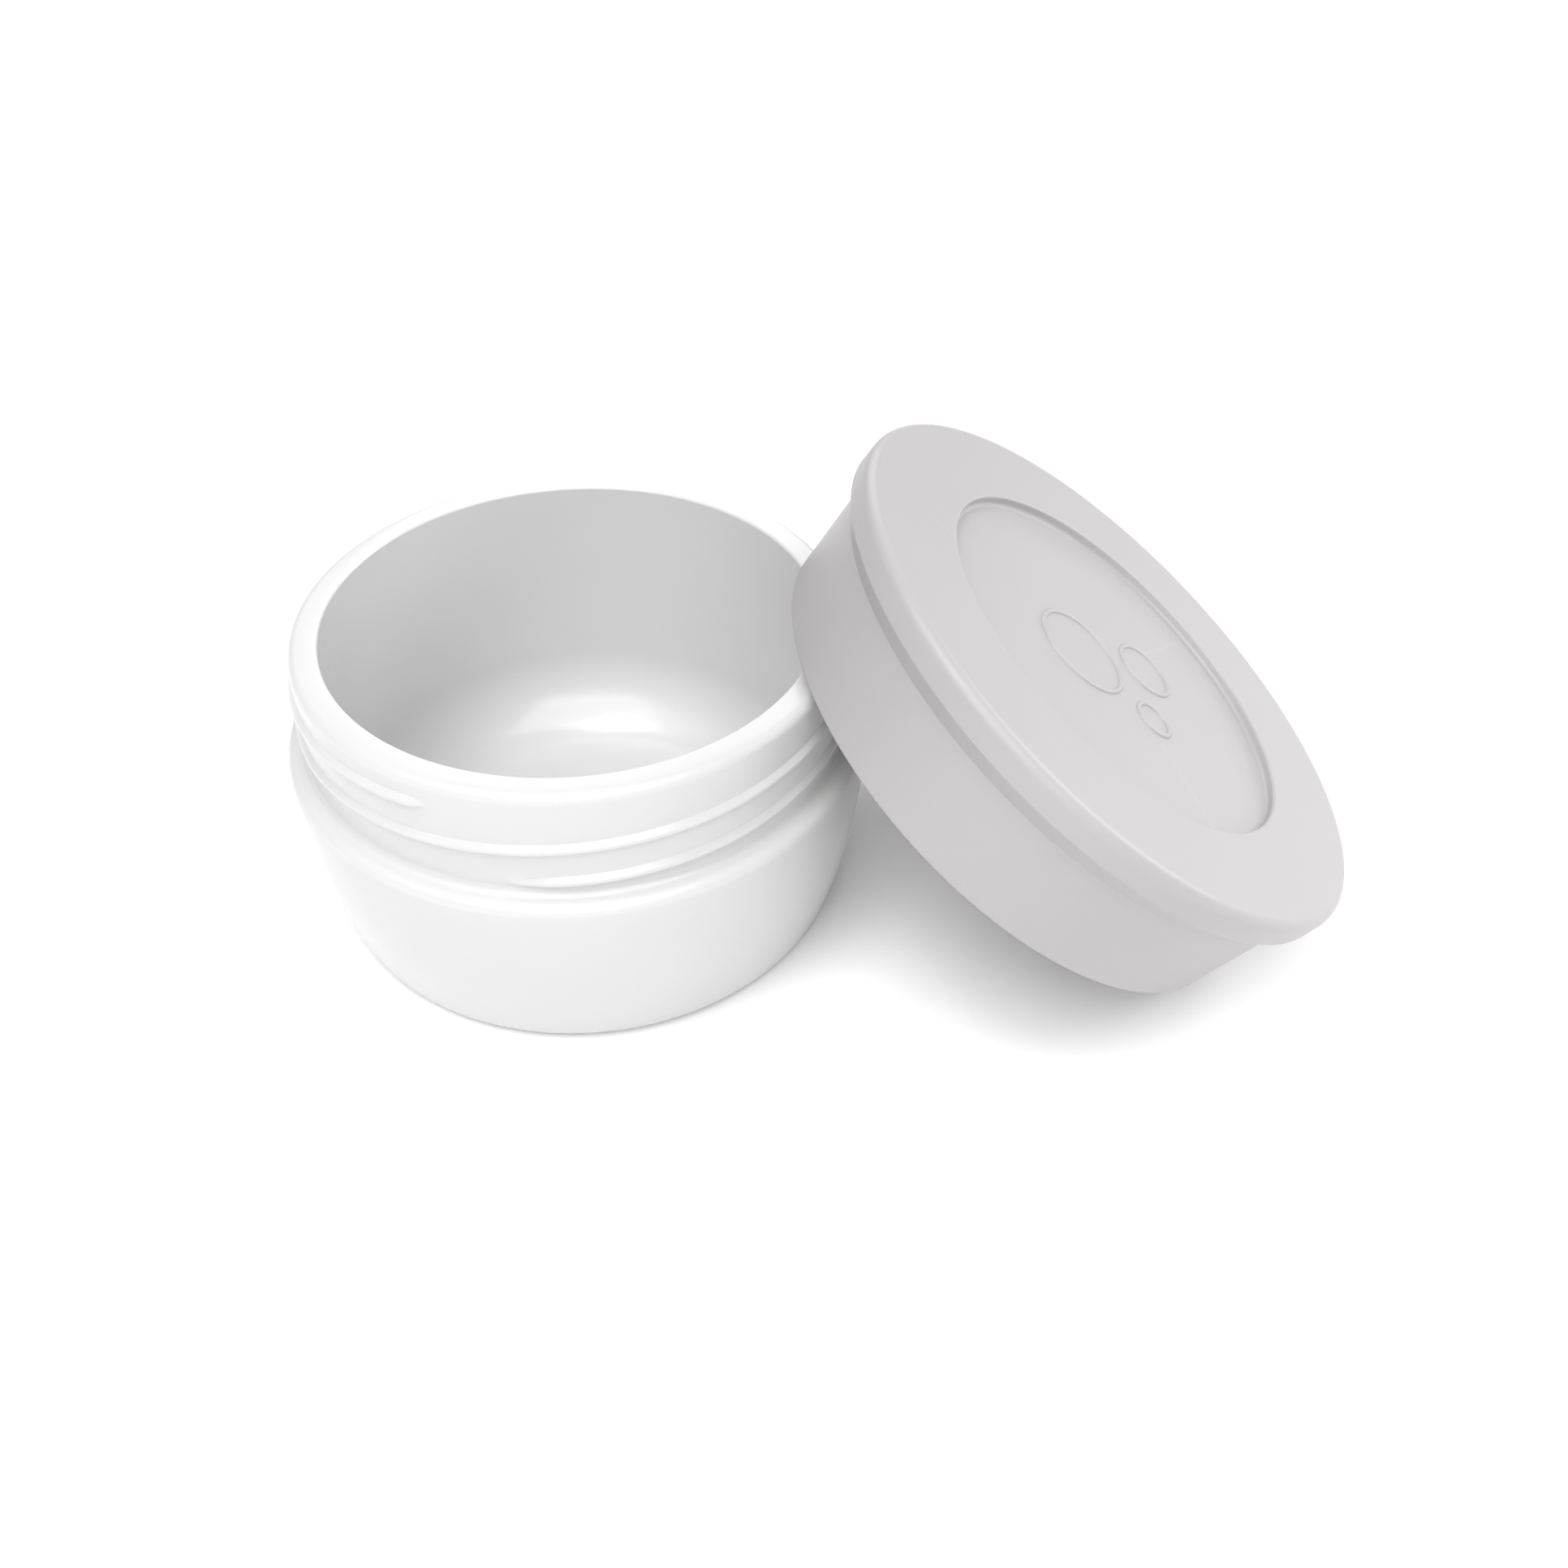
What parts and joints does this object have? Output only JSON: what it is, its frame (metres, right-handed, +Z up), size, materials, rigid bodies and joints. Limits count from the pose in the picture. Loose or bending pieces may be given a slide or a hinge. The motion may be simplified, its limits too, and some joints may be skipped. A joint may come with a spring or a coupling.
{
  "type": "shaving soap pot",
  "caption": "Small round screw-top pot for a shaving soap puck, its flared lid set down leaning on the rim, with a sealing ring inside the lid.",
  "frame": {"origin": "centre of the pot's flat underside", "axes": "+Z up along the pot's axis; +X towards the side where the lid leans; -Y towards the front, where the lower thread begins"},
  "size_m": [0.1107, 0.066, 0.0499],
  "materials": {
    "pot_plastic": "satin moulded white polypropylene",
    "lid_plastic": "matt moulded warm grey polypropylene",
    "seal_silicone": "smooth pale silicone"
  },
  "bodies": {
    "pot": {"pot": "pot_plastic"},
    "lid": {"lid": "lid_plastic"},
    "seal": {"lid_seal": "seal_silicone"}
  },
  "joints": [
    {"name": "lid_swing", "type": "hinge", "parent": "pot", "child": "lid", "pos_m": [-0.02299, -0.01755, -0.0296], "axis": [0.067, -0.9782, 0.1963], "range_deg": [0, 38.48]},
    {"name": "seal_pull", "type": "slide", "parent": "lid", "child": "seal", "axis": [-0.6115, 0, -0.7912], "range_m": [0, 0.009]}
  ]
}
